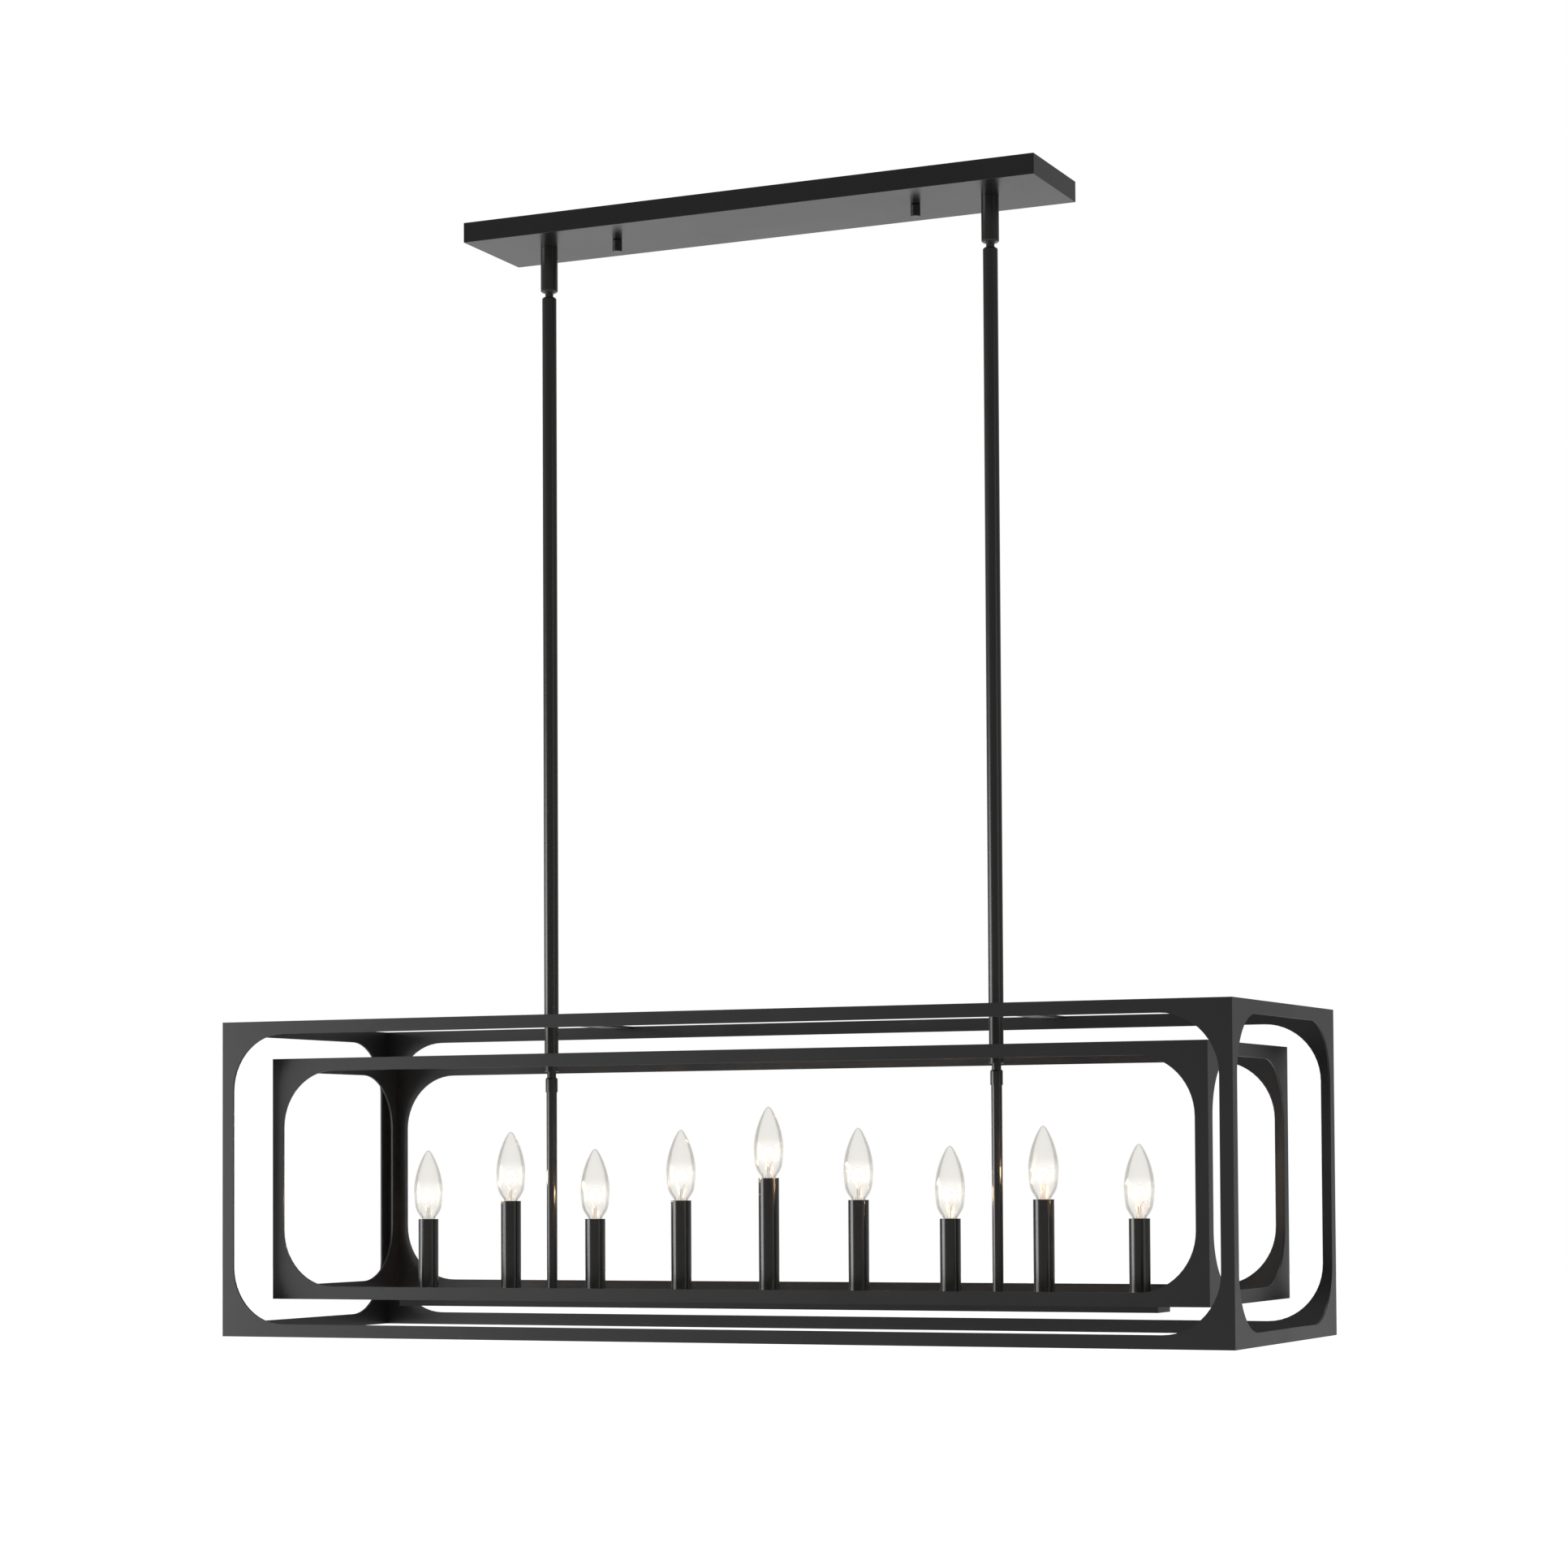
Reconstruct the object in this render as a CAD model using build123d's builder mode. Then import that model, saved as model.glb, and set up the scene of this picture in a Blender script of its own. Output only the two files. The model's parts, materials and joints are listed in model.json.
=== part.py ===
from build123d import *
import os
from math import radians, tan

os.makedirs("parts", exist_ok=True)

# Linear island pendant with two nested open cages and a row of nine candles. Millimetres.
# The origin is the centre of the ceiling plane, X runs along the pendant, its front faces -Y,
# and Z is up, so everything hangs below Z = 0.

# ---- Overall ----
drop = 1234.0                 # ceiling to the underside of the outer cage
fit = 0.05                    # radial clearance of threads and running fits
seat_gap = 0.3                # air between a removable piece and the face below it

# ---- Canopy and what holds it to the ceiling ----
canopy_length = 680.0
canopy_width = 125.0
canopy_height = 22.0
canopy_wall = 1.2
canopy_edge = 1.0             # rounding of the pan's outer edges
bar_length = 400.0            # mounting bar inside the canopy
bar_width = 32.0
bar_thickness = 2.5
box_screw_spacing = 88.9      # holes of a ceiling junction box
box_slot_length = 14.0
box_slot_width = 5.0
ground_screw_offset = 100.0   # from the middle of the bar
ground_screw_radius = 2.0
ground_head_radius = 4.5
ground_head_height = 2.4
stud_spacing = 360.0
stud_radius = 2.4
stud_nut_flats = 9.0
stud_nut_height = 3.5
stud_reach = 9.0              # stud below the canopy floor
knob_radius = 5.3
knob_height = 13.0
knob_roof = 2.5               # solid end of the knob below its blind thread

# ---- Stems and their hang-straight swivels ----
stem_spacing = 532.0
collar_radius = 9.5
collar_length = 50.0
collar_chamfer = 1.5
ball_radius = 7.6
ball_seat_depth = 4.6         # ball centre above the collar's mouth
swivel_neck_radius = 4.5
swivel_neck_length = 6.0      # neck seen between collar and rod
wire_bore_radius = 2.6        # wireway through the swivel ball
pipe_radius = 5.0             # threaded pipe that joins the stem pieces
pipe_bore_radius = 3.5
pipe_nut_flats = 14.0
pipe_nut_height = 4.0
pipe_end = 3.0                # thread left standing past a nut
plug_depth = 10.0             # swivel plug inside the collar
washer_radius = 9.0
washer_thickness = 1.0
rod_radius = 7.95
rod_wall = 1.3
rod_end_depth = 12.0          # thick threaded end of each rod
rod_chamfer = 1.3
spacer_radius = 7.7
hub_radius = 7.7
hub_height = 13.0
hub_neck_length = 7.0         # threaded pipe seen under the hub
coupling_radius = 6.7
coupling_length = 16.0
tube_radius = 5.8             # lower tube, from the coupling to the candle tray

# ---- Cages ----
cage_length = 1166.0
cage_width = 345.0
cage_height = 345.0
cage_gap = 40.0               # outer cage to inner cage, across and up
cage_end_gap = 39.0           # outer cage to inner cage, along
plate = 2.0
bar_face = 14.0               # width of the bars and posts left around each window
window_radius = 62.0
strap_width = 26.0
strap_thickness = 2.5

# ---- Candle tray and candles ----
candle_pitch = 106.0
low_sleeve = 80.0
middle_sleeve = 100.0
high_sleeve = 124.0
tray_end = 26.0               # tray past the last candle
tray_width = 38.0
tray_depth = 15.3
tray_wall = 1.5
tray_rise = 6.0               # tray top above the inner cage's underside
cover_thickness = 1.5
boss_radius = 3.5
cover_screw_radius = 1.5
cover_screw_head_radius = 2.75   # countersunk head, flush with the cover
countersink_angle = 82.0
cover_screw_length = 7.0
sleeve_radius = 11.1
sleeve_wall = 0.9
socket_clearance = 0.3        # socket to sleeve, all round
socket_height = 30.0
socket_sink = 3.5             # socket top below the sleeve's top
leg_width = 9.0
leg_thickness = 1.2
leg_base_radius = 9.0

# ---- Bulbs ----
bulb_cap_radius = 5.95
bulb_rim_radius = 6.5
bulb_rim_height = 0.7
bulb_cap_length = 18.3
bulb_contact_radius = 2.4
bulb_contact_depth = 2.5
bulb_radius = 15.9
bulb_belly = 30.0             # height of the widest point above the sleeve
bulb_height = 77.5            # glass above the sleeve
bulb_neck_radius = 6.7
bulb_flank = (0.9, 0.5)       # outline points: share of the belly's radius, and of the height
bulb_shoulder = (0.79, 0.45)  # from the sleeve to the belly, or from the belly to the tip
bulb_taper = (0.39, 0.78)
neck_slope = (0.55, 1)        # directions of the outline at the neck and at the tip
tip_slope = (-0.8, 0.6)
glass_wall = 0.8
mount_radius = 2.2            # glass stem that holds the filament
mount_height = 12.0
filament_spread = 6.5
filament_height = 28.0
filament_rise = 4.0
filament_radius = 0.4

# ---- Heights worked out from the sizes above ----
canopy_floor = -canopy_height
canopy_inside = canopy_floor + canopy_wall
collar_bottom = canopy_floor - collar_length
ball_height = collar_bottom + ball_seat_depth
rod_top = collar_bottom - swivel_neck_length
cage_floor = -drop
cage_top = cage_floor + cage_height
inner_floor = cage_floor + cage_gap
inner_top = cage_top - cage_gap
outer_strap_low = cage_top - strap_thickness
inner_strap_low = inner_top - strap_thickness
hub_bottom = inner_strap_low - hub_height
coupling_top = hub_bottom - hub_neck_length
coupling_bottom = coupling_top - coupling_length
tray_top = inner_floor + tray_rise
tray_inside = tray_top - tray_wall
tray_bottom = tray_top - tray_depth
cover_bottom = tray_bottom - cover_thickness
tray_length = 8 * candle_pitch + 2 * tray_end

stems = {"left": -stem_spacing / 2, "right": stem_spacing / 2}
studs = {"left": -stud_spacing / 2, "right": stud_spacing / 2}
sleeve_heights = [low_sleeve, middle_sleeve, low_sleeve, middle_sleeve, high_sleeve,
                  middle_sleeve, low_sleeve, middle_sleeve, low_sleeve]
candles = [((index - 4) * candle_pitch, height) for index, height in enumerate(sleeve_heights)]
candle_spots = [(x, 0) for x, height in candles]
stem_spots = [(x, 0) for x in stems.values()]
stud_spots = [(x, 0) for x in studs.values()]
boss_spots = [(step * candle_pitch, 0) for step in (-3.5, -0.5, 0.5, 3.5)]


def save(piece, label):
    """Name a finished piece and write it to its own file."""
    piece.part.label = label
    export_step(piece.part, f"parts/{label}.step")


def upright(x):
    """Plane across the pendant's length at x, drawn as (radius, height)."""
    return Plane((x, 0, 0), x_dir=(1, 0, 0), z_dir=(0, -1, 0))


def turned(spots, corners):
    """Turned pieces on upright axes at the spots, from (radius, height) corners."""
    with BuildPart() as piece:
        for x in spots:
            with BuildSketch(upright(x)):
                with BuildLine():
                    Polyline(*corners, close=True)
                make_face()
            revolve(axis=Axis((x, 0, 0), (0, 0, 1)))
    return piece


def ring(spots, outer, inner, low, high):
    """Round tubes between two heights."""
    return turned([x for x, y in spots], [(inner, low), (outer, low), (outer, high), (inner, high)])


def hex_nuts(places, flats, bore, height):
    """Hexagon nuts with their undersides at the (x, z) places."""
    with BuildPart() as nuts:
        for x, z in places:
            with BuildSketch(Plane.XY.offset(z)):
                with Locations((x, 0)):
                    RegularPolygon(flats / 2, 6, major_radius=False)
                    Circle(bore, mode=Mode.SUBTRACT)
            extrude(amount=height)
    return nuts


# ---- Ceiling fixings ----
with BuildPart() as mounting_bar:
    with BuildSketch(Plane.XY.offset(-bar_thickness)):
        RectangleRounded(bar_length, bar_width, bar_width / 4)
        with GridLocations(box_screw_spacing, 0, 2, 1):
            SlotOverall(box_slot_length, box_slot_width, mode=Mode.SUBTRACT)
        with Locations(*stud_spots):
            Circle(stud_radius + fit, mode=Mode.SUBTRACT)
        with Locations((ground_screw_offset, 0)):
            Circle(ground_screw_radius + fit, mode=Mode.SUBTRACT)
    extrude(amount=bar_thickness)
save(mounting_bar, "mounting_bar")

save(turned([ground_screw_offset], [
    (0, 0), (ground_screw_radius, 0), (ground_screw_radius, -bar_thickness),
    (ground_head_radius, -bar_thickness), (ground_head_radius, -bar_thickness - ground_head_height),
    (0, -bar_thickness - ground_head_height)]), "ground_screw")

stud_bottom = canopy_floor - stud_reach
save(turned([x for x, y in stud_spots], [
    (0, 0), (stud_radius, 0), (stud_radius, stud_bottom), (0, stud_bottom)]), "canopy_studs")
save(hex_nuts([(x, -bar_thickness - stud_nut_height) for x, y in stud_spots],
              stud_nut_flats, stud_radius + fit, stud_nut_height), "stud_nuts")

# ---- Canopy pan ----
with BuildPart() as canopy_pan:
    with BuildSketch(Plane.XY.offset(canopy_floor)):
        Rectangle(canopy_length, canopy_width)
    extrude(amount=canopy_height)
    fillet(canopy_pan.edges().filter_by(Axis.Z), canopy_edge)
    fillet(canopy_pan.faces().sort_by(Axis.Z)[0].edges(), canopy_edge / 2)
    with BuildSketch(Plane.XY.offset(canopy_inside)):
        Rectangle(canopy_length - 2 * canopy_wall, canopy_width - 2 * canopy_wall)
    extrude(amount=canopy_height, mode=Mode.SUBTRACT)
    with BuildSketch(Plane.XY.offset(canopy_floor)):
        with Locations(*stud_spots):
            Circle(stud_radius + seat_gap)
        with Locations(*stem_spots):
            Circle(pipe_radius + fit)
    extrude(amount=canopy_height, mode=Mode.SUBTRACT)
save(canopy_pan, "canopy_pan")

for side, x in studs.items():
    knob_top = canopy_floor - fit
    knob_bottom = knob_top - knob_height
    knob_edge = knob_radius / 8
    save(turned([x], [
        (0, knob_bottom), (knob_radius - knob_edge, knob_bottom), (knob_radius, knob_bottom + knob_edge),
        (knob_radius, knob_top - knob_edge), (knob_radius - knob_edge, knob_top),
        (stud_radius + fit, knob_top), (stud_radius + fit, knob_bottom + knob_roof),
        (0, knob_bottom + knob_roof)]), f"canopy_knob_{side}")

# ---- Hang-straight swivels ----
collar_bore = ball_radius + fit
nut_seat = canopy_inside + washer_thickness
pipe_top = nut_seat + pipe_nut_height + pipe_end
save(turned([x for x, y in stem_spots], [
    (pipe_bore_radius, canopy_floor - plug_depth), (ball_radius, canopy_floor - plug_depth),
    (ball_radius, canopy_floor), (pipe_radius, canopy_floor), (pipe_radius, pipe_top),
    (pipe_bore_radius, pipe_top)]), "swivel_plugs")
save(ring(stem_spots, washer_radius, pipe_radius + fit, canopy_inside, nut_seat), "canopy_washers")
save(hex_nuts([(x, nut_seat) for x, y in stem_spots],
              pipe_nut_flats, pipe_radius + fit, pipe_nut_height), "canopy_nuts")

ball_spots = [(x, 0, ball_height) for x, y in stem_spots]
with BuildPart() as swivel_collars:
    with BuildSketch(Plane.XY.offset(collar_bottom)):
        with Locations(*stem_spots):
            Circle(collar_radius)
    extrude(amount=collar_length)
    chamfer(swivel_collars.faces().group_by(Axis.Z)[0].edges(), collar_chamfer)
    with BuildSketch(Plane.XY.offset(ball_height)):
        with Locations(*stem_spots):
            Circle(collar_bore)
    extrude(amount=canopy_floor - ball_height, mode=Mode.SUBTRACT)
    with Locations(*ball_spots):
        Sphere(collar_bore, mode=Mode.SUBTRACT)
save(swivel_collars, "swivel_collars")

neck_bottom = rod_top - rod_end_depth + pipe_end
with BuildPart() as swivel_balls:
    with Locations(*ball_spots):
        Sphere(ball_radius)
    with BuildSketch(Plane.XY.offset(neck_bottom)):
        with Locations(*stem_spots):
            Circle(swivel_neck_radius)
    extrude(amount=ball_height - neck_bottom)
    with BuildSketch(Plane.XY.offset(neck_bottom)):
        with Locations(*stem_spots):
            Circle(wire_bore_radius)
    extrude(amount=ball_height + ball_radius - neck_bottom, mode=Mode.SUBTRACT)
save(swivel_balls, "swivel_balls")

# ---- Stem pieces, top to bottom ----
rod_bore = rod_radius - rod_wall
pipe_hole = pipe_radius + fit
for side, x in stems.items():
    save(turned([x], [
        (swivel_neck_radius + fit, rod_top), (rod_radius - rod_chamfer, rod_top),
        (rod_radius, rod_top - rod_chamfer), (rod_radius, cage_top), (pipe_hole, cage_top),
        (pipe_hole, cage_top + rod_end_depth), (rod_bore, cage_top + rod_end_depth),
        (rod_bore, rod_top - rod_end_depth), (swivel_neck_radius + fit, rod_top - rod_end_depth)]),
        f"upper_rod_{side}")

pipe_high = cage_top + rod_end_depth - pipe_end
pipe_low = coupling_top - coupling_length / 2
save(ring(stem_spots, pipe_radius, pipe_bore_radius, pipe_low, pipe_high), "stem_pipes")
save(ring(stem_spots, spacer_radius, pipe_hole, inner_top, outer_strap_low), "spacer_tubes")
save(ring(stem_spots, hub_radius, pipe_hole, hub_bottom, inner_strap_low), "hub_nuts")

tube_hole = tube_radius + fit
save(turned([x for x, y in stem_spots], [
    (pipe_hole, coupling_top), (coupling_radius - collar_chamfer / 2, coupling_top),
    (coupling_radius, coupling_top - collar_chamfer), (coupling_radius, coupling_bottom),
    (tube_hole, coupling_bottom), (tube_hole, pipe_low), (pipe_hole, pipe_low)]), "tube_couplings")

nut_low = tray_inside - pipe_nut_height
spigot_low = nut_low - pipe_end / 2
for side, x in stems.items():
    save(turned([x], [
        (pipe_bore_radius, spigot_low), (pipe_radius, spigot_low), (pipe_radius, tray_top),
        (tube_radius, tray_top), (tube_radius, pipe_low), (pipe_bore_radius, pipe_low)]),
        f"lower_tube_{side}")


# ---- Cages ----
def window_plate(face, length, height, window_length, label):
    """Plate drawn on its outer face, which looks inwards, with its round-cornered window."""
    with BuildPart() as plate_piece:
        with BuildSketch(face):
            Rectangle(length, height)
            RectangleRounded(window_length, height - 2 * bar_face, window_radius, mode=Mode.SUBTRACT)
        extrude(amount=plate)
    save(plate_piece, label)


def cage(name, length, width, height, low):
    """Four windowed plates and the two cross straps that carry them."""
    middle = low + height / 2
    for side, sign in (("front", -1), ("back", 1)):
        face = Plane((0, sign * width / 2, middle), x_dir=(1, 0, 0), z_dir=(0, -sign, 0))
        window_plate(face, length, height, length - 2 * bar_face, f"{name}_{side}_side")
    for side, sign in (("left", -1), ("right", 1)):
        face = Plane((sign * length / 2, 0, middle), x_dir=(0, 1, 0), z_dir=(-sign, 0, 0))
        window_plate(face, width - 2 * plate, height, width - 2 * bar_face, f"{name}_{side}_end")
    for side, x in stems.items():
        with BuildPart() as strap:
            with BuildSketch(Plane.XY.offset(low + height - strap_thickness)):
                with Locations((x, 0)):
                    Rectangle(strap_width, width - 2 * plate)
                    Circle(pipe_hole, mode=Mode.SUBTRACT)
            extrude(amount=strap_thickness)
        save(strap, f"{name}_strap_{side}")


cage("outer", cage_length, cage_width, cage_height, cage_floor)
cage("inner", cage_length - 2 * cage_end_gap, cage_width - 2 * cage_gap,
     cage_height - 2 * cage_gap, inner_floor)

# ---- Candle tray, welded from strips ----
with BuildPart() as tray_plate:
    with BuildSketch(Plane.XY.offset(tray_inside)):
        Rectangle(tray_length, tray_width)
        with Locations(*stem_spots, *candle_spots):
            Circle(pipe_hole, mode=Mode.SUBTRACT)
    extrude(amount=tray_wall)
save(tray_plate, "tray_plate")

with BuildPart() as tray_rails:
    with BuildSketch(Plane.XY.offset(tray_bottom)):
        with GridLocations(0, tray_width - tray_wall, 1, 2):
            Rectangle(tray_length, tray_wall)
    extrude(amount=tray_inside - tray_bottom)
save(tray_rails, "tray_rails")

with BuildPart() as tray_end_caps:
    with BuildSketch(Plane.XY.offset(tray_bottom)):
        with GridLocations(tray_length - tray_wall, 0, 2, 1):
            Rectangle(tray_wall, tray_width - 2 * tray_wall)
    extrude(amount=tray_inside - tray_bottom)
save(tray_end_caps, "tray_end_caps")

boss_thread = cover_screw_radius + fit
boss_floor = tray_bottom + cover_screw_length
save(turned([x for x, y in boss_spots], [
    (boss_thread, tray_bottom), (boss_radius, tray_bottom), (boss_radius, tray_inside),
    (0, tray_inside), (0, boss_floor), (boss_thread, boss_floor)]), "tray_bosses")

with BuildPart() as tray_cover:
    with BuildSketch(Plane.XY.offset(cover_bottom)):
        Rectangle(tray_length, tray_width)
    extrude(amount=cover_thickness)
    with Locations(*[Plane((x, y, cover_bottom), z_dir=(0, 0, -1)) for x, y in boss_spots]):
        CounterSinkHole(boss_thread, cover_screw_head_radius + fit, cover_thickness, countersink_angle)
save(tray_cover, "tray_cover")

screw_top = cover_bottom + cover_screw_length
cover_screw_head = (cover_screw_head_radius - cover_screw_radius) / tan(radians(countersink_angle / 2))
save(turned([x for x, y in boss_spots], [
    (0, cover_bottom), (cover_screw_head_radius, cover_bottom),
    (cover_screw_radius, cover_bottom + cover_screw_head),
    (cover_screw_radius, screw_top), (0, screw_top)]), "cover_screws")

# ---- Socket legs, their pipes and nuts ----
leg_base_top = tray_top + leg_thickness
leg_pipe_top = leg_base_top + pipe_nut_height + pipe_end / 2
tray_nut_places = [(x, nut_low) for x, y in stem_spots + candle_spots]
leg_nut_places = [(x, leg_base_top) for x, y in candle_spots]
save(hex_nuts(tray_nut_places + leg_nut_places, pipe_nut_flats, pipe_hole, pipe_nut_height),
     "tray_nuts")
save(ring(candle_spots, pipe_radius, pipe_bore_radius, spigot_low, leg_pipe_top), "leg_pipes")

leg_depth = leg_base_radius
with BuildPart() as socket_legs:
    for x, height in candles:
        socket_low = tray_top + height - socket_sink - socket_height
        with BuildSketch(Plane.XY.offset(tray_top)):
            with Locations((x, 0)):
                Circle(leg_base_radius)
                Circle(pipe_hole, mode=Mode.SUBTRACT)
        extrude(amount=leg_thickness)
        with BuildSketch(Plane.XY.offset(tray_top)):
            with Locations((x, leg_depth - leg_thickness / 2)):
                Rectangle(leg_width, leg_thickness)
        extrude(amount=socket_low - tray_top)
        with BuildSketch(Plane.XY.offset(socket_low - leg_thickness)):
            with Locations((x, leg_depth / 2)):
                Rectangle(leg_width, leg_depth)
        extrude(amount=leg_thickness)
save(socket_legs, "socket_legs")

# ---- Sockets, sleeves and bulbs ----
sleeve_bore = sleeve_radius - sleeve_wall
socket_radius = sleeve_bore - socket_clearance
bulb_seat = socket_sink - seat_gap          # underside of the bulb's rim below the sleeve's top
cap_bottom = bulb_seat + bulb_cap_length
with BuildPart() as sockets:
    for x, height in candles:
        sleeve_top = tray_top + height
        with BuildSketch(upright(x)):
            with BuildLine():
                socket_top = sleeve_top - socket_sink
                bore_floor = sleeve_top - cap_bottom - seat_gap
                bore_radius = bulb_cap_radius + fit
                Polyline((0, socket_top - socket_height), (socket_radius, socket_top - socket_height),
                         (socket_radius, socket_top), (bore_radius, socket_top),
                         (bore_radius, bore_floor), (0, bore_floor), close=True)
            make_face()
        revolve(axis=Axis((x, 0, 0), (0, 0, 1)))
save(sockets, "sockets")


def glass_profile(x, base, inset):
    """Half outline of the torpedo bulb's glass, drawn in by inset, closed on its axis."""
    neck_low = base - bulb_seat + bulb_rim_height
    belly = base + bulb_belly
    above_belly = bulb_height - bulb_belly
    tip = base + bulb_height - inset
    with BuildSketch(upright(x)) as half:
        with BuildLine():
            Polyline((0, tip), (0, neck_low), (bulb_neck_radius - inset, neck_low),
                     (bulb_neck_radius - inset, base))
            Spline((bulb_neck_radius - inset, base),
                   (bulb_flank[0] * bulb_radius - inset, base + bulb_flank[1] * bulb_belly),
                   (bulb_radius - inset, belly),
                   (bulb_shoulder[0] * bulb_radius - inset, belly + bulb_shoulder[1] * above_belly),
                   (bulb_taper[0] * bulb_radius - inset, belly + bulb_taper[1] * above_belly),
                   (0, tip), tangents=[neck_slope, tip_slope])
        make_face()
    return half.sketch


for number, (x, height) in enumerate(candles, 1):
    sleeve_top = tray_top + height
    rim_low = sleeve_top - bulb_seat
    rim_top = rim_low + bulb_rim_height
    mount_top = sleeve_top + mount_height
    axis = Axis((x, 0, 0), (0, 0, 1))
    save(ring([(x, 0)], sleeve_radius, sleeve_bore, tray_top, sleeve_top), f"candle_sleeve_{number}")

    with BuildPart() as bulb_glass:
        add(glass_profile(x, sleeve_top, 0))
        revolve(axis=axis)
        add(glass_profile(x, sleeve_top, glass_wall))
        revolve(axis=axis, mode=Mode.SUBTRACT)

    bulb_cap = turned([x], [
        (0, rim_low - bulb_cap_length), (bulb_contact_radius, rim_low - bulb_cap_length),
        (bulb_cap_radius, rim_low - bulb_cap_length + bulb_contact_depth),
        (bulb_cap_radius, rim_low), (bulb_rim_radius, rim_low),
        (bulb_rim_radius, rim_top), (0, rim_top)])

    with BuildPart() as filament_mount:
        with BuildSketch(Plane.XY.offset(rim_top)):
            with Locations((x, 0)):
                Circle(mount_radius)
        extrude(amount=mount_top - rim_top)
        with BuildLine(upright(x)) as loop:
            foot = mount_radius / 2
            Line((-foot, mount_top - foot), (-filament_spread, sleeve_top + filament_height))
            ThreePointArc((-filament_spread, sleeve_top + filament_height),
                          (0, sleeve_top + filament_height + filament_rise),
                          (filament_spread, sleeve_top + filament_height))
            Line((filament_spread, sleeve_top + filament_height), (foot, mount_top - foot))
        with BuildSketch(Plane(loop.line @ 0, z_dir=loop.line % 0)):
            Circle(filament_radius)
        sweep(transition=Transition.ROUND)

    bulb = Compound(label=f"bulb_{number}",
                    children=[bulb_glass.part, bulb_cap.part, filament_mount.part])
    export_step(bulb, f"parts/bulb_{number}.step")
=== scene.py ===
import json
import math

import bmesh
import bpy
from mathutils import Matrix, Vector


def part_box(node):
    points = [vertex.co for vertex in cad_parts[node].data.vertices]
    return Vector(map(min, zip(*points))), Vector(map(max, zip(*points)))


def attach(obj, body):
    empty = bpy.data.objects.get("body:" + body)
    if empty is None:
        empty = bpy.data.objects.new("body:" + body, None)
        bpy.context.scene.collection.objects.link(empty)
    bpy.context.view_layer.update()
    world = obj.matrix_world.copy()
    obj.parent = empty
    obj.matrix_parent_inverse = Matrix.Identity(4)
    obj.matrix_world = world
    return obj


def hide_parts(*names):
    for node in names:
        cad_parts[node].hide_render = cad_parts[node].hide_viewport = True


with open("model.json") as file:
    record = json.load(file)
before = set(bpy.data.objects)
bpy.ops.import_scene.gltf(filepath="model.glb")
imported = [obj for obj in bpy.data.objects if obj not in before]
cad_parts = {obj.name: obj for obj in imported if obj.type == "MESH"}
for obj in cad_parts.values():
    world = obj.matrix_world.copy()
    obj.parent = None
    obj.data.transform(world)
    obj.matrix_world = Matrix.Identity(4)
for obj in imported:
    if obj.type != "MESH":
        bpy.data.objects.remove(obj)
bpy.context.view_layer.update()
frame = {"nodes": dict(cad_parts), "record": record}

MM = 0.001

# ---- Sizes of the bulb, in metres; heights count from the top of its candle sleeve ----
BULB_SEAT = 3.2 * MM            # rim of the bulb's cap below the sleeve's top
RIM_HEIGHT = 0.7 * MM
RIM_RADIUS = 6.5 * MM
COLLAR_HEIGHT = 0.8 * MM        # plain band under the rim
THREAD_TOP = 1.5 * MM           # end of the thread below the rim
CAP_RADIUS = 5.95 * MM
CAP_LENGTH = 18.3 * MM
CONTACT_RADIUS = 2.4 * MM
CONTACT_DEPTH = 2.5 * MM
CONTACT_EDGE = 0.2 * MM
CONTACT_HEIGHT = 0.9 * MM
INSULATOR_HEIGHT = 1.1 * MM
INSULATOR_INSET = 1.6 * MM
THREAD_PITCH = 2.5 * MM
THREAD_DEPTH = 0.35 * MM
THREAD_ROWS = 60
BULB_RADIUS = 15.9 * MM
BULB_BELLY = 30.0 * MM
BULB_HEIGHT = 77.5 * MM
NECK_RADIUS = 6.7 * MM
NECK_BEND = -1.0 * MM           # height where the neck starts to widen
NECK_SWELL = (1.6 * MM, 2.0 * MM)   # how far it has widened, and at what height
GLASS_WALL = 0.8 * MM
STEM_RADIUS = 2.2 * MM
STEM_HEIGHT = 12.0 * MM
STEM_FLARE = 1.5 * MM           # how far the glass stem widens low down
STEM_GAP = 1.4 * MM             # between the stem's foot and the neck
STEM_TIP = 0.4 * MM
FILAMENT_SPREAD = 6.5 * MM
FILAMENT_HEIGHT = 28.0 * MM
FILAMENT_RISE = 4.0 * MM        # crown of the filament's arch above its height
FILAMENT_FOOT = 6.0 * MM        # feet of the arch below its height
FILAMENT_TURNS = 46
TURN_STEPS = 12
COIL_RADIUS = 0.75 * MM
FILAMENT_RADIUS = 0.22 * MM
FILAMENT_SIDES = 6
LEAD_RADIUS = 0.32 * MM
LEAD_ROUTE = ((0.9, -2.0), (1.0, 6.0), (1.2, 12.0), (3.0, 15.5), (6.4, 20.5), (6.6, 22.3))  # mm
CURVE_STEPS = 5                 # points that smooth() puts in for each given one
# Outline of the glass, as shares of the belly's radius, and of the height below or above it.
BELOW_BELLY = ((0.77, 0.27), (0.915, 0.5))
ABOVE_BELLY = ((0.98, 0.2), (0.84, 0.45), (0.64, 0.66), (0.43, 0.82))
NEAR_TIP = (0.22, 0.94)
TIP_NIPPLE = (0.08, 0.985)

# ---- Looks of the glass ----
# Painted glow: the glass, which is no lamp, emits warm light in a band around the filament's height.
PAINTED_GLOW_REACH = 20.0 * MM          # how far above and below the filament the painted glow on the glass shows, standing in for its halo
PAINTED_GLOW_STRENGTH = 0.055
PAINTED_GLOW_COLOUR = (1.0, 0.95, 0.86, 1)
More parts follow.
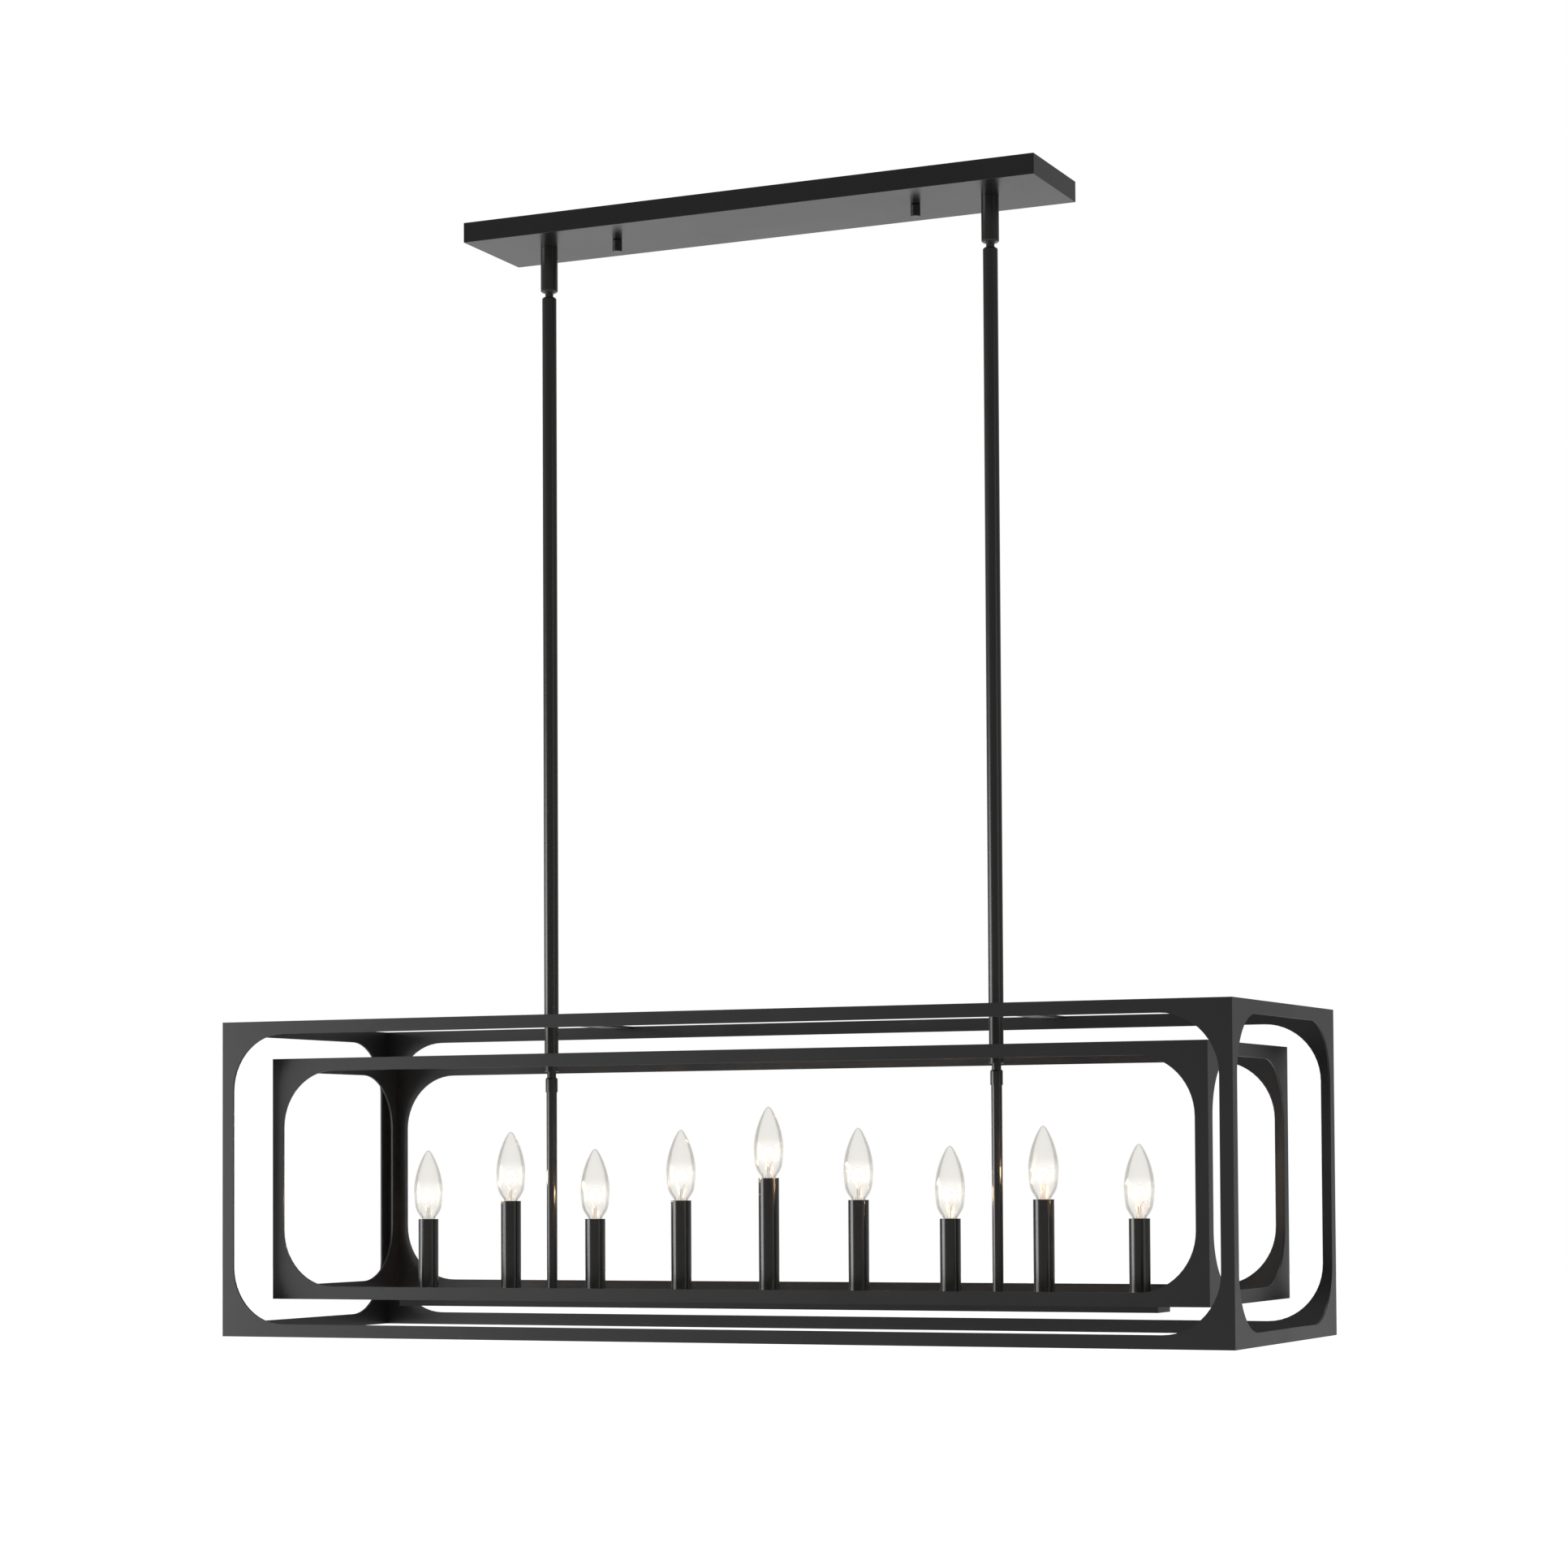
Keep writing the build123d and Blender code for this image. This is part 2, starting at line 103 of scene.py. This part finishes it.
# The side and edge colours are painted shade: the glass turns greyer towards its edges, standing in
# for refraction of the darker surroundings.
GLASS_CLEAR = (0.958, 0.954, 0.944)   # seen square on, at its sides, and edge on
GLASS_SIDE_PAINTED_SHADE = (0.945, 0.938, 0.92)
GLASS_EDGE_PAINTED_SHADE = (0.88, 0.87, 0.845)
GLASS_SHEEN = 0.3               # share of the reflections that shows
GLASS_ROUGHNESS = 0.06
GLASS_IOR = 1.25

# ---- Looks of the finishes ----
PEEL_SCALE = 900.0              # fine skin of the powder coat
CLOUD_SCALE = 9.0               # broad unevenness of the powder coat
WORN_EDGE = 0.5 * MM
PEEL_DEPTH = 0.0004
GRAIN_DEPTH = 0.0002


# ---- Node helpers ----
def new_material(name):
    """An empty node material and its tree, with the output node in place."""
    material = bpy.data.materials.new(name)
    material.use_nodes = True
    tree = material.node_tree
    tree.nodes.clear()
    output = tree.nodes.new("ShaderNodeOutputMaterial")
    return material, tree, output


def node(tree, kind, **values):
    """A node with its inputs and properties set by name."""
    made = tree.nodes.new(kind)
    for key, value in values.items():
        if hasattr(made, key):
            setattr(made, key, value)
        else:
            made.inputs[key.replace("_", " ")].default_value = value
    return made


def vary(tree, factor, low, high):
    """A value between low and high that follows a pattern."""
    spread = node(tree, "ShaderNodeMapRange")
    spread.inputs["To Min"].default_value = low
    spread.inputs["To Max"].default_value = high
    tree.links.new(factor, spread.inputs["Value"])
    return spread.outputs["Result"]


def shade_colour(tree, shader, colour, factor, low, high):
    """Gives a shader a base colour that is a little lighter and darker from place to place."""
    shade = node(tree, "ShaderNodeVectorMath", operation="SCALE")
    shade.inputs[0].default_value = colour
    tree.links.new(vary(tree, factor, low, high), shade.inputs["Scale"])
    tree.links.new(shade.outputs["Vector"], shader.inputs["Base Color"])


def powder_coat(name, colour, roughness, grain=0.12, specular=0.5):
    """Baked powder coat: near-black paint with a fine orange-peel skin and worn-soft edges."""
    material, tree, output = new_material(name)
    link = tree.links.new
    shader = node(tree, "ShaderNodeBsdfPrincipled")
    shader.inputs["Specular IOR Level"].default_value = specular
    place = node(tree, "ShaderNodeTexCoord")
    peel = node(tree, "ShaderNodeTexNoise", Scale=PEEL_SCALE, Detail=3.0, Roughness=0.55)
    clouds = node(tree, "ShaderNodeTexNoise", Scale=CLOUD_SCALE, Detail=4.0, Roughness=0.6)
    link(place.outputs["Object"], peel.inputs["Vector"])
    link(place.outputs["Object"], clouds.inputs["Vector"])
    shade_colour(tree, shader, colour, clouds.outputs["Fac"], 0.82, 1.18)
    link(vary(tree, clouds.outputs["Fac"], roughness - 0.06, roughness + 0.06),
         shader.inputs["Roughness"])
    edge = node(tree, "ShaderNodeBevel", samples=4)
    edge.inputs["Radius"].default_value = WORN_EDGE
    skin = node(tree, "ShaderNodeBump", Strength=grain, Distance=PEEL_DEPTH)
    link(peel.outputs["Fac"], skin.inputs["Height"])
    link(edge.outputs["Normal"], skin.inputs["Normal"])
    link(skin.outputs["Normal"], shader.inputs["Normal"])
    link(shader.outputs["BSDF"], output.inputs["Surface"])
    return material


def plated(name, colour, roughness):
    """Plated metal with faint turning marks."""
    material, tree, output = new_material(name)
    link = tree.links.new
    shader = node(tree, "ShaderNodeBsdfPrincipled", Metallic=1.0)
    place = node(tree, "ShaderNodeTexCoord")
    marks = node(tree, "ShaderNodeTexNoise", Scale=260.0, Detail=4.0, Roughness=0.6)
    link(place.outputs["Object"], marks.inputs["Vector"])
    shade_colour(tree, shader, colour, marks.outputs["Fac"], 0.8, 1.1)
    link(vary(tree, marks.outputs["Fac"], roughness - 0.08, roughness + 0.1),
         shader.inputs["Roughness"])
    bump = node(tree, "ShaderNodeBump", Strength=0.1, Distance=GRAIN_DEPTH)
    link(marks.outputs["Fac"], bump.inputs["Height"])
    link(bump.outputs["Normal"], shader.inputs["Normal"])
    link(shader.outputs["BSDF"], output.inputs["Surface"])
    return material


def glass_painted_glow_and_shade():
    """Thin blown glass: clear, glossy, and greyer edge on by painted shade that stands in for
    refraction, with a painted glow band on the glass around the filament's height.
    """
    material, tree, output = new_material("glass_painted_glow_and_shade")
    link = tree.links.new
    place = node(tree, "ShaderNodeTexCoord")
    drawn = node(tree, "ShaderNodeMapping")
    drawn.inputs["Scale"].default_value = (1.0, 1.0, 0.35)
    link(place.outputs["Object"], drawn.inputs["Vector"])
    waves = node(tree, "ShaderNodeTexNoise", Scale=110.0, Detail=2.0, Roughness=0.5)
    link(drawn.outputs["Vector"], waves.inputs["Vector"])
    bump = node(tree, "ShaderNodeBump", Strength=0.35, Distance=0.001)
    link(waves.outputs["Fac"], bump.inputs["Height"])
    # Painted shade: the see-through colour darkens from square on to edge on, standing in for
    # refraction at the glass's edges.
    facing = node(tree, "ShaderNodeLayerWeight", Blend=0.5)
    link(bump.outputs["Normal"], facing.inputs["Normal"])
    tint_and_edge_shade = node(tree, "ShaderNodeValToRGB")
    ramp = tint_and_edge_shade.color_ramp
    ramp.elements[0].position = 0.0
    ramp.elements[0].color = (*GLASS_CLEAR, 1)
    ramp.elements[1].position = 1.0
    ramp.elements[1].color = (*GLASS_EDGE_PAINTED_SHADE, 1)
    middle = ramp.elements.new(0.6)
    middle.color = (*GLASS_SIDE_PAINTED_SHADE, 1)
    link(facing.outputs["Facing"], tint_and_edge_shade.inputs["Fac"])
    through = node(tree, "ShaderNodeBsdfTransparent")
    link(tint_and_edge_shade.outputs["Color"], through.inputs["Color"])
    gloss = node(tree, "ShaderNodeBsdfGlossy", Roughness=GLASS_ROUGHNESS)
    link(bump.outputs["Normal"], gloss.inputs["Normal"])
    fresnel = node(tree, "ShaderNodeFresnel", IOR=GLASS_IOR)
    link(bump.outputs["Normal"], fresnel.inputs["Normal"])
    sheen = node(tree, "ShaderNodeMath", operation="MULTIPLY")
    sheen.inputs[1].default_value = GLASS_SHEEN
    link(fresnel.outputs["Fac"], sheen.inputs[0])
    mix = node(tree, "ShaderNodeMixShader")
    link(sheen.outputs["Value"], mix.inputs["Fac"])
    link(through.outputs["BSDF"], mix.inputs[1])
    link(gloss.outputs["BSDF"], mix.inputs[2])

    # Painted glow: the glass emits a warm band of light around the filament's height, fading to
    # nothing within the reach above and below.
    height = node(tree, "ShaderNodeSeparateXYZ")
    link(place.outputs["Object"], height.inputs["Vector"])
    away = node(tree, "ShaderNodeMath", operation="SUBTRACT")
    away.inputs[1].default_value = FILAMENT_HEIGHT
    link(height.outputs["Z"], away.inputs[0])
    distance = node(tree, "ShaderNodeMath", operation="ABSOLUTE")
    link(away.outputs["Value"], distance.inputs[0])
    painted_glow_fade = node(tree, "ShaderNodeMapRange", interpolation_type="SMOOTHERSTEP")
    painted_glow_fade.inputs["From Min"].default_value = 0.0
    painted_glow_fade.inputs["From Max"].default_value = PAINTED_GLOW_REACH
    painted_glow_fade.inputs["To Min"].default_value = PAINTED_GLOW_STRENGTH
    painted_glow_fade.inputs["To Max"].default_value = 0.0
    link(distance.outputs["Value"], painted_glow_fade.inputs["Value"])
    painted_glow = node(tree, "ShaderNodeEmission", Color=PAINTED_GLOW_COLOUR)
    link(painted_glow_fade.outputs["Result"], painted_glow.inputs["Strength"])
    glass_and_painted_glow = node(tree, "ShaderNodeAddShader")
    link(mix.outputs["Shader"], glass_and_painted_glow.inputs[0])
    link(painted_glow.outputs["Emission"], glass_and_painted_glow.inputs[1])
    link(glass_and_painted_glow.outputs["Shader"], output.inputs["Surface"])
    return material


def glowing(name, colour, strength):
    """Hot wire, a little uneven along its length."""
    material, tree, output = new_material(name)
    link = tree.links.new
    place = node(tree, "ShaderNodeTexCoord")
    uneven = node(tree, "ShaderNodeTexNoise", Scale=300.0, Detail=2.0)
    link(place.outputs["Object"], uneven.inputs["Vector"])
    light = node(tree, "ShaderNodeEmission", Color=(*colour, 1))
    link(vary(tree, uneven.outputs["Fac"], 0.8 * strength, 1.2 * strength), light.inputs["Strength"])
    link(light.outputs["Emission"], output.inputs["Surface"])
    return material


def moulded(name, colour, roughness):
    """Moulded lampholder plastic."""
    material, tree, output = new_material(name)
    link = tree.links.new
    shader = node(tree, "ShaderNodeBsdfPrincipled", Roughness=roughness)
    place = node(tree, "ShaderNodeTexCoord")
    grain = node(tree, "ShaderNodeTexNoise", Scale=400.0, Detail=3.0)
    link(place.outputs["Object"], grain.inputs["Vector"])
    shade_colour(tree, shader, colour, grain.outputs["Fac"], 0.92, 1.05)
    bump = node(tree, "ShaderNodeBump", Strength=0.15, Distance=GRAIN_DEPTH)
    link(grain.outputs["Fac"], bump.inputs["Height"])
    link(bump.outputs["Normal"], shader.inputs["Normal"])
    link(shader.outputs["BSDF"], output.inputs["Surface"])
    return material


# ---- Materials on the CAD nodes ----
frame_black = powder_coat("frame_black", (0.0085, 0.0085, 0.0095), 0.36, specular=0.36)
canopy_black = powder_coat("canopy_black", (0.008, 0.008, 0.009), 0.26, grain=0.05, specular=0.3)
stem_black = powder_coat("stem_black", (0.010, 0.009, 0.008), 0.24, grain=0.04, specular=0.4)
sleeve_black = powder_coat("sleeve_black", (0.009, 0.008, 0.007), 0.2, grain=0.03, specular=0.4)
zinc = plated("zinc", (0.62, 0.62, 0.60), 0.35)
green_paint = powder_coat("green_paint", (0.05, 0.3, 0.12), 0.35)
lampholder = moulded("lampholder", (0.82, 0.80, 0.74), 0.45)
glass = glass_painted_glow_and_shade()
brass_cap = plated("brass_cap", (0.80, 0.66, 0.40), 0.28)
lead_wire = plated("lead_wire", (0.45, 0.42, 0.38), 0.35)
hot_wire = glowing("hot_wire", (1.0, 0.64, 0.32), 900.0)

STEM_NODES = ("upper_rod", "lower_tube", "spacer_tubes", "hub_nuts", "stem_pipes", "tube_couplings",
              "swivel_balls", "swivel_collars", "canopy_knob")
for name, piece in frame["nodes"].items():
    slot = next(s["material_slot"] for s in frame["record"]["subparts"] if s["node"] == name)
    if slot == "black_powder":
        if name == "canopy_pan":
            finish = canopy_black
        elif name.startswith(STEM_NODES):
            finish = stem_black
        else:
            finish = frame_black
    else:
        finish = {"sleeve_black": sleeve_black, "zinc_steel": zinc, "green_screw": green_paint,
                  "socket_plastic": lampholder, "bulb_glass": glass}[slot]
    if not piece.material_slots:
        piece.data.materials.append(finish)
    for held in piece.material_slots:
        held.material = finish


# ---- Bulbs ----
def smooth(points, steps):
    """Points of a Catmull-Rom curve through the given (radius, height) points."""
    ends = [2 * points[0] - points[1], *points, 2 * points[-1] - points[-2]]
    line = []
    for a, b, c, d in zip(ends, ends[1:], ends[2:], ends[3:]):
        for step in range(steps):
            t = step / steps
            line.append(0.5 * (2 * b + (c - a) * t + (2 * a - 5 * b + 4 * c - d) * t ** 2
                               + (3 * b - a - 3 * c + d) * t ** 3))
    line.append(points[-1])
    return line


def lathe(name, profile, sides=48, radius_at=None):
    """A turned mesh from (radius, height) points. radius_at changes a radius by its angle."""
    mesh = bmesh.new()
    rings = []
    for r, z in profile:
        if r < 1e-6:
            rings.append([mesh.verts.new((0, 0, z))])
            continue
        ring = []
        for side in range(sides):
            angle = 2 * math.pi * side / sides
            reach = r if radius_at is None else radius_at(r, z, angle)
            ring.append(mesh.verts.new((reach * math.cos(angle), reach * math.sin(angle), z)))
        rings.append(ring)
    for low, high in zip(rings, rings[1:]):
        for side in range(sides):
            after = (side + 1) % sides
            corners = [low[side % len(low)], low[after % len(low)],
                       high[after % len(high)], high[side % len(high)]]
            face = list(dict.fromkeys(corners))
            if len(face) > 2:
                mesh.faces.new(face)
    bmesh.ops.recalc_face_normals(mesh, faces=mesh.faces)
    data = bpy.data.meshes.new(name)
    mesh.to_mesh(data)
    mesh.free()
    for face in data.polygons:
        face.use_smooth = True
    return data


def glass_mesh():
    """Torpedo envelope with its inner wall, open at the neck."""
    def outline(inset):
        tall = BULB_HEIGHT - BULB_BELLY
        points = [
            (NECK_RADIUS - inset, -BULB_SEAT + RIM_HEIGHT),
            (NECK_RADIUS - inset, NECK_BEND),
            (NECK_RADIUS + NECK_SWELL[0] - inset, NECK_SWELL[1]),
            *((r * BULB_RADIUS - inset, h * BULB_BELLY) for r, h in BELOW_BELLY),
            (BULB_RADIUS - inset, BULB_BELLY),
            *((r * BULB_RADIUS - inset, BULB_BELLY + h * tall) for r, h in ABOVE_BELLY),
            (NEAR_TIP[0] * BULB_RADIUS - 0.7 * inset, BULB_BELLY + NEAR_TIP[1] * tall),
            (TIP_NIPPLE[0] * BULB_RADIUS, BULB_BELLY + TIP_NIPPLE[1] * tall - inset / 2),
            (0.0, BULB_HEIGHT - inset)]
        return smooth([Vector(point) for point in points], CURVE_STEPS)
    outside = outline(0.0)
    inside = outline(GLASS_WALL)
    return lathe("bulb_glass", [*reversed(inside), *outside], 64)


def cap_mesh():
    """Screw cap with its rolled thread, insulator and centre contact."""
    low = -BULB_SEAT - CAP_LENGTH
    shell_low = low + CONTACT_DEPTH
    shell_high = -BULB_SEAT - THREAD_TOP
    shell = [(CAP_RADIUS - THREAD_DEPTH / 2, shell_low + (shell_high - shell_low) * k / THREAD_ROWS)
             for k in range(THREAD_ROWS + 1)]

    def thread(r, z, angle):
        if not shell_low < z < shell_high:
            return r
        ramp = min(1.0, (z - shell_low) / MM, (shell_high - z) / MM)
        return r + ramp * THREAD_DEPTH / 2 * math.sin(2 * math.pi * z / THREAD_PITCH - angle)
    profile = [(0, low), (CONTACT_RADIUS, low + CONTACT_EDGE), (CONTACT_RADIUS, low + CONTACT_HEIGHT),
               (CAP_RADIUS - INSULATOR_INSET, low + INSULATOR_HEIGHT), *shell,
               (CAP_RADIUS, -BULB_SEAT - COLLAR_HEIGHT), (CAP_RADIUS, -BULB_SEAT),
               (RIM_RADIUS, -BULB_SEAT), (RIM_RADIUS, -BULB_SEAT + RIM_HEIGHT),
               (0, -BULB_SEAT + RIM_HEIGHT)]
    return lathe("bulb_cap", profile, 48, thread)


def wire(name, points, radius, sides=8):
    """A round wire along a list of points."""
    mesh = bmesh.new()
    rings = []
    side_way = Vector((0, 1, 0))
    for index, point in enumerate(points):
        before = points[max(index - 1, 0)]
        after = points[min(index + 1, len(points) - 1)]
        along = (after - before).normalized()
        side_way = (side_way - along * side_way.dot(along)).normalized()
        other = along.cross(side_way)
        rings.append([mesh.verts.new(point + radius * (math.cos(a) * side_way + math.sin(a) * other))
                      for a in (2 * math.pi * k / sides for k in range(sides))])
    for low, high in zip(rings, rings[1:]):
        for k in range(sides):
            after = (k + 1) % sides
            mesh.faces.new((low[k], low[after], high[after], high[k]))
    mesh.faces.new(reversed(rings[0]))
    mesh.faces.new(rings[-1])
    data = bpy.data.meshes.new(name)
    mesh.to_mesh(data)
    mesh.free()
    for face in data.polygons:
        face.use_smooth = True
    return data


def filament_mesh():
    """Coiled wire that climbs from one support, over the top and down to the other."""
    points = []
    for k in range(FILAMENT_TURNS * TURN_STEPS + 1):
        t = k / (FILAMENT_TURNS * TURN_STEPS)
        across = math.cos(math.pi * t)
        climb = (FILAMENT_FOOT + FILAMENT_RISE) * math.sin(math.pi * t)
        centre = Vector((-FILAMENT_SPREAD * across, 0, FILAMENT_HEIGHT - FILAMENT_FOOT + climb))
        angle = 2 * math.pi * k / TURN_STEPS
        outward = Vector((-across, 0, math.sin(math.pi * t)))
        points.append(centre + COIL_RADIUS * (math.cos(angle) * outward
                                              + math.sin(angle) * Vector((0, 1, 0))))
    return wire("filament", points, FILAMENT_RADIUS, FILAMENT_SIDES)


def stem_meshes():
    """Glass flare and press inside the neck, and the lead wires that rise from it."""
    flare = smooth([Vector(p) for p in (
        (NECK_RADIUS - STEM_GAP, -BULB_SEAT + RIM_HEIGHT), (STEM_RADIUS + STEM_FLARE, 1.0 * MM),
        (STEM_RADIUS, 5.0 * MM), (STEM_RADIUS * 1.05, STEM_HEIGHT - 2 * MM),
        (STEM_RADIUS * 0.6, STEM_HEIGHT), (0, STEM_HEIGHT + STEM_TIP))], CURVE_STEPS)
    leads = []
    for side in (-1, 1):
        route = [Vector((side * x * MM, 0, z * MM)) for x, z in LEAD_ROUTE]
        leads.append(wire(f"lead_{side}", smooth(route, CURVE_STEPS), LEAD_RADIUS))
    return lathe("glass_stem", flare, 24), leads


glass_data = glass_mesh()
cap_data = cap_mesh()
filament_data = filament_mesh()
stem_data, lead_data = stem_meshes()


def show(name, data, material, body, place, stands_for):
    """Puts a piece of a bulb in its place, on its body."""
    piece = bpy.data.objects.new(name, data)
    bpy.context.scene.collection.objects.link(piece)
    piece.location = place
    if not data.materials:
        data.materials.append(material)
    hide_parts(stands_for)
    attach(piece, body)
    return piece


for number in range(1, 10):
    low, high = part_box(f"candle_sleeve_{number}")
    sleeve_top = Vector(((low[0] + high[0]) / 2, (low[1] + high[1]) / 2, high[2]))
    stands_for = f"bulb_{number}"
    show(f"bulb_glass_{number}", glass_data, glass, stands_for, sleeve_top, stands_for)
    show(f"bulb_cap_{number}", cap_data, brass_cap, stands_for, sleeve_top, stands_for)
    show(f"bulb_filament_{number}", filament_data, hot_wire, stands_for, sleeve_top,
         stands_for)
    show(f"bulb_stem_{number}", stem_data, glass, stands_for, sleeve_top, stands_for)
    for side, data in zip(("left", "right"), lead_data):
        show(f"bulb_lead_{side}_{number}", data, lead_wire, stands_for, sleeve_top,
             stands_for)

# ---- Floor and backdrop ----
FLOOR_DROP = 0.85               # floor below the cage
FLOOR_SIZE = 60
FLOOR_SEEN = 0.75               # light the floor adds towards the camera, and in reflections
FLOOR_GLOSS = 0.5
cage_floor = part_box("outer_front_side")[0][2]


def pale_ground():
    """Floor paint that is white to the camera, and a little darker in reflections."""
    material, tree, output = new_material("pale_ground")
    link = tree.links.new
    paint = node(tree, "ShaderNodeBsdfDiffuse", Color=(0.85, 0.85, 0.85, 1))
    path = node(tree, "ShaderNodeLightPath")
    seen = node(tree, "ShaderNodeMath", operation="MAXIMUM")
    link(path.outputs["Is Camera Ray"], seen.inputs[0])
    link(path.outputs["Is Transmission Ray"], seen.inputs[1])
    lift = node(tree, "ShaderNodeEmission", Color=(1, 1, 1, 1))
    level = node(tree, "ShaderNodeMath", operation="MULTIPLY")
    level.inputs[1].default_value = FLOOR_SEEN
    mirrored = node(tree, "ShaderNodeMath", operation="MULTIPLY")
    mirrored.inputs[1].default_value = FLOOR_GLOSS
    total = node(tree, "ShaderNodeMath", operation="MAXIMUM")
    link(seen.outputs["Value"], level.inputs[0])
    link(path.outputs["Is Glossy Ray"], mirrored.inputs[0])
    link(level.outputs["Value"], total.inputs[0])
    link(mirrored.outputs["Value"], total.inputs[1])
    link(total.outputs["Value"], lift.inputs["Strength"])
    both = node(tree, "ShaderNodeAddShader")
    link(paint.outputs["BSDF"], both.inputs[0])
    link(lift.outputs["Emission"], both.inputs[1])
    link(both.outputs["Shader"], output.inputs["Surface"])
    return material


bpy.ops.mesh.primitive_plane_add(size=FLOOR_SIZE, location=(0, 0, cage_floor - FLOOR_DROP))
floor = bpy.context.object
floor.name = "floor"
floor.data.materials.append(pale_ground())

# ---- World ----
ROOM_LEVEL = 0.4                # how bright the white room is as a light, and in reflections
ROOM_GLOSS = 0.45
world = bpy.data.worlds.new("studio")
bpy.context.scene.world = world
world.use_nodes = True
sky = world.node_tree
sky.nodes.clear()
sky_output = sky.nodes.new("ShaderNodeOutputWorld")
backdrop = node(sky, "ShaderNodeBackground", Color=(1, 1, 1, 1))
sky_path = node(sky, "ShaderNodeLightPath")
sky_seen = node(sky, "ShaderNodeMath", operation="MAXIMUM")
sky_level = node(sky, "ShaderNodeMapRange")
sky_level.inputs["To Min"].default_value = ROOM_LEVEL
sky_level.inputs["To Max"].default_value = 1.0
sky_gloss = node(sky, "ShaderNodeMath", operation="MULTIPLY")
sky_gloss.inputs[1].default_value = ROOM_GLOSS
sky_total = node(sky, "ShaderNodeMath", operation="MAXIMUM")
sky.links.new(sky_path.outputs["Is Camera Ray"], sky_seen.inputs[0])
sky.links.new(sky_path.outputs["Is Transmission Ray"], sky_seen.inputs[1])
sky.links.new(sky_seen.outputs["Value"], sky_level.inputs["Value"])
sky.links.new(sky_path.outputs["Is Glossy Ray"], sky_gloss.inputs[0])
sky.links.new(sky_level.outputs["Result"], sky_total.inputs[0])
sky.links.new(sky_gloss.outputs["Value"], sky_total.inputs[1])
sky.links.new(sky_total.outputs["Value"], backdrop.inputs["Strength"])
sky.links.new(backdrop.outputs["Background"], sky_output.inputs["Surface"])


# ---- Lamps ----
def softbox(name, place, target, size, power):
    """A square soft light aimed at a point."""
    lamp = bpy.data.lights.new(name, "AREA")
    lamp.shape = "RECTANGLE"
    lamp.size, lamp.size_y = size
    lamp.energy = power
    holder = bpy.data.objects.new(name, lamp)
    bpy.context.scene.collection.objects.link(holder)
    holder.location = place
    aim = Vector(target) - Vector(place)
    holder.rotation_euler = aim.to_track_quat("-Z", "Y").to_euler()
    return holder


CAGE_MIDDLE = (0, 0, cage_floor + 0.17)   # near the middle of the cage
softbox("key", (-4.4, -2.6, cage_floor + 0.2), CAGE_MIDDLE, (3.4, 1.7), 150)
softbox("side", (3.6, -0.9, cage_floor + 0.5), CAGE_MIDDLE, (1.2, 2.4), 9)
softbox("top", (0, 0.3, 2.2), CAGE_MIDDLE, (2.5, 1.5), 25)

# ---- Camera at the photograph's viewing angle ----
PHOTO_SIZE = 1932               # pixels
FOCAL_PIXELS = 4520.6
YAW, PITCH, ROLL = (math.radians(a) for a in (23.265, 2.161, -0.378))
DROP = 1234.0                   # ceiling to the underside of the cage, mm
CAMERA_PLACE = Vector((1700.01, -3589.75, 178.62 - DROP)) * MM
CENTRE_COLUMN = 1110.0          # pixel that the lens axis falls on
CENTRE_ROW = 1270.0

ahead = Vector((-math.sin(YAW) * math.cos(PITCH), math.cos(YAW) * math.cos(PITCH), math.sin(PITCH)))
level_right = Vector((math.cos(YAW), math.sin(YAW), 0))
level_up = level_right.cross(ahead)
right = math.cos(ROLL) * level_right + math.sin(ROLL) * level_up
up = math.cos(ROLL) * level_up - math.sin(ROLL) * level_right

lens = bpy.data.cameras.new("camera")
lens.sensor_width = 36          # mm
lens.lens = FOCAL_PIXELS / PHOTO_SIZE * lens.sensor_width
lens.shift_x = (PHOTO_SIZE / 2 - CENTRE_COLUMN) / PHOTO_SIZE
lens.shift_y = (CENTRE_ROW - PHOTO_SIZE / 2) / PHOTO_SIZE
camera = bpy.data.objects.new("camera", lens)
bpy.context.scene.collection.objects.link(camera)
turned = Matrix((right, up, -ahead)).transposed().to_4x4()
camera.matrix_world = Matrix.Translation(CAMERA_PLACE) @ turned
bpy.context.scene.camera = camera
bpy.context.scene.view_settings.view_transform = "Standard"
